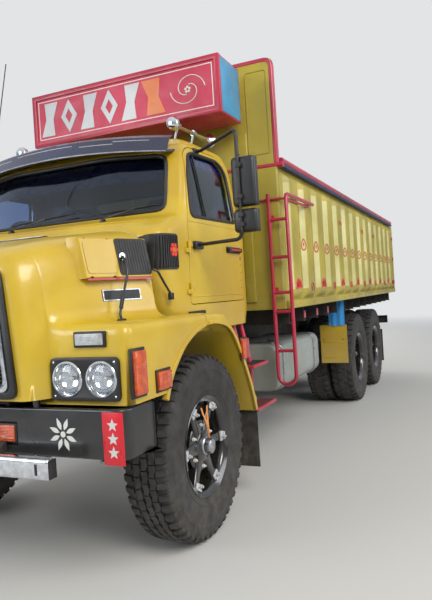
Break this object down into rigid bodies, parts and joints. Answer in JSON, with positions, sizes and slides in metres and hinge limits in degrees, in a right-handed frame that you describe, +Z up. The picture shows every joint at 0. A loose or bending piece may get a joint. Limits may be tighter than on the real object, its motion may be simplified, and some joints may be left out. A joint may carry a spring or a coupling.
{
  "type": "three-axle bonneted load truck",
  "caption": "Bonneted long-haul truck with tilting bonnet, opening doors, steered front wheels, twin driven wheels and a high ribbed load bed with rear doors and a sign box.",
  "frame": {"origin": "on the ground below the middle of the truck's box", "axes": "front faces -Y, left side is +X, +Z up"},
  "size_m": [3.22, 9.729, 3.7277],
  "materials": {
    "yellow_paint": "gloss yellow paint, dusty",
    "red_paint": "red paint",
    "blue_paint": "dark blue paint",
    "blue_cloth": "woven blue cloth",
    "chassis_black": "matt black paint",
    "trim_black": "black",
    "tyre_rubber": "rubber",
    "flap_rubber": "rubber sheet",
    "rim_black": "gloss black paint",
    "aluminium": "brushed",
    "tank_grey": "grey paint",
    "glass": "clear",
    "seat_cloth": "woven",
    "engine_green": "painted casting"
  },
  "bodies": {
    "root": {"chassis_frame": "chassis_black", "front_axle": "chassis_black", "rear_axle_1": "chassis_black", "rear_axle_2": "chassis_black", "bogie_springs": "chassis_black", "engine_block": "engine_green", "propshaft": "chassis_black", "bumper": "trim_black", "front_bar": "aluminium", "cab_shell": "yellow_paint", "windscreen": "glass", "rear_window": "glass", "sun_visor": "blue_paint", "dashboard": "trim_black", "seats": "seat_cloth", "rear_wing_left": "yellow_paint", "rear_wing_right": "yellow_paint", "front_flap_left": "flap_rubber", "front_flap_right": "flap_rubber", "step_left": "red_paint", "step_right": "red_paint", "tank_left": "tank_grey", "tank_right": "tank_grey", "mud_plate_left": "yellow_paint", "mud_plate_right": "yellow_paint", "side_cloth": "blue_cloth", "rear_flaps": "flap_rubber", "rear_bar": "chassis_black", "bed_floor": "chassis_black", "bed_side_left": "yellow_paint", "bed_side_right": "yellow_paint", "bulkhead": "yellow_paint", "sign_box": "red_paint", "ladder": "red_paint"},
    "steering_wheel": {"steering_wheel": "trim_black"},
    "bonnet": {"bonnet": "yellow_paint", "grille": "trim_black", "headlamp_left": "trim_black", "headlamp_right": "trim_black"},
    "door_left": {"door_left": "yellow_paint", "door_glass_left": "glass", "mirror_left": "trim_black"},
    "door_right": {"door_right": "yellow_paint", "door_glass_right": "glass", "mirror_right": "trim_black"},
    "knuckle_left": {"knuckle_left": "chassis_black"},
    "knuckle_right": {"knuckle_right": "chassis_black"},
    "front_wheel_left": {"front_rim_left": "rim_black", "front_tyre_left": "tyre_rubber"},
    "front_wheel_right": {"front_rim_right": "rim_black", "front_tyre_right": "tyre_rubber"},
    "rear_wheel_1_left": {"rear_wheel_1_left": "tyre_rubber"},
    "rear_wheel_1_right": {"rear_wheel_1_right": "tyre_rubber"},
    "rear_wheel_2_left": {"rear_wheel_2_left": "tyre_rubber"},
    "rear_wheel_2_right": {"rear_wheel_2_right": "tyre_rubber"},
    "cargo_door_left": {"cargo_door_left": "yellow_paint"},
    "cargo_door_right": {"cargo_door_right": "yellow_paint"}
  },
  "joints": [
    {"name": "bonnet_tilt", "type": "hinge", "parent": "root", "child": "bonnet", "pos_m": [0, -4.6795, 1.1], "axis": [1, 0, 0], "range_deg": [0, 65]},
    {"name": "door_left_swing", "type": "hinge", "parent": "root", "child": "door_left", "pos_m": [1.097, -3.6135, 1.56], "axis": [0, 0, -1], "range_deg": [0, 70]},
    {"name": "door_right_swing", "type": "hinge", "parent": "root", "child": "door_right", "pos_m": [-1.097, -3.6135, 1.56], "axis": [0, 0, 1], "range_deg": [0, 70]},
    {"name": "steer_left", "type": "hinge", "parent": "root", "child": "knuckle_left", "pos_m": [0.8, -3.6195, 0.613], "axis": [0, 0, 1], "range_deg": [-30, 30]},
    {"name": "steer_right", "type": "hinge", "parent": "root", "child": "knuckle_right", "pos_m": [-0.8, -3.6195, 0.613], "axis": [0, 0, 1], "range_deg": [-30, 30]},
    {"name": "steering_wheel_turn", "type": "hinge", "parent": "root", "child": "steering_wheel", "pos_m": [-0.48, -3.2795, 2.14], "axis": [0, 0.6428, 0.766], "range_deg": [-480, 480]},
    {"name": "front_wheel_left_spin", "type": "hinge", "parent": "knuckle_left", "child": "front_wheel_left", "pos_m": [1.01, -3.6195, 0.613], "axis": [1, 0, 0], "continuous": true},
    {"name": "front_wheel_right_spin", "type": "hinge", "parent": "knuckle_right", "child": "front_wheel_right", "pos_m": [-1.01, -3.6195, 0.613], "axis": [1, 0, 0], "continuous": true},
    {"name": "rear_wheel_1_left_spin", "type": "hinge", "parent": "root", "child": "rear_wheel_1_left", "pos_m": [0.91, 1.3305, 0.613], "axis": [1, 0, 0], "continuous": true},
    {"name": "rear_wheel_1_right_spin", "type": "hinge", "parent": "root", "child": "rear_wheel_1_right", "pos_m": [-0.91, 1.3305, 0.613], "axis": [1, 0, 0], "continuous": true},
    {"name": "rear_wheel_2_left_spin", "type": "hinge", "parent": "root", "child": "rear_wheel_2_left", "pos_m": [0.91, 2.7005, 0.613], "axis": [1, 0, 0], "continuous": true},
    {"name": "rear_wheel_2_right_spin", "type": "hinge", "parent": "root", "child": "rear_wheel_2_right", "pos_m": [-0.91, 2.7005, 0.613], "axis": [1, 0, 0], "continuous": true},
    {"name": "cargo_door_left_swing", "type": "hinge", "parent": "root", "child": "cargo_door_left", "pos_m": [1.266, 4.8465, 1.506], "axis": [0, 0, -1], "range_deg": [0, 180]},
    {"name": "cargo_door_right_swing", "type": "hinge", "parent": "root", "child": "cargo_door_right", "pos_m": [-1.266, 4.8465, 1.506], "axis": [0, 0, 1], "range_deg": [0, 180]}
  ],
  "couplings": [
    {"joint": "steer_right", "follows": "steer_left", "ratio": 1},
    {"joint": "steering_wheel_turn", "follows": "steer_left", "ratio": 16}
  ]
}
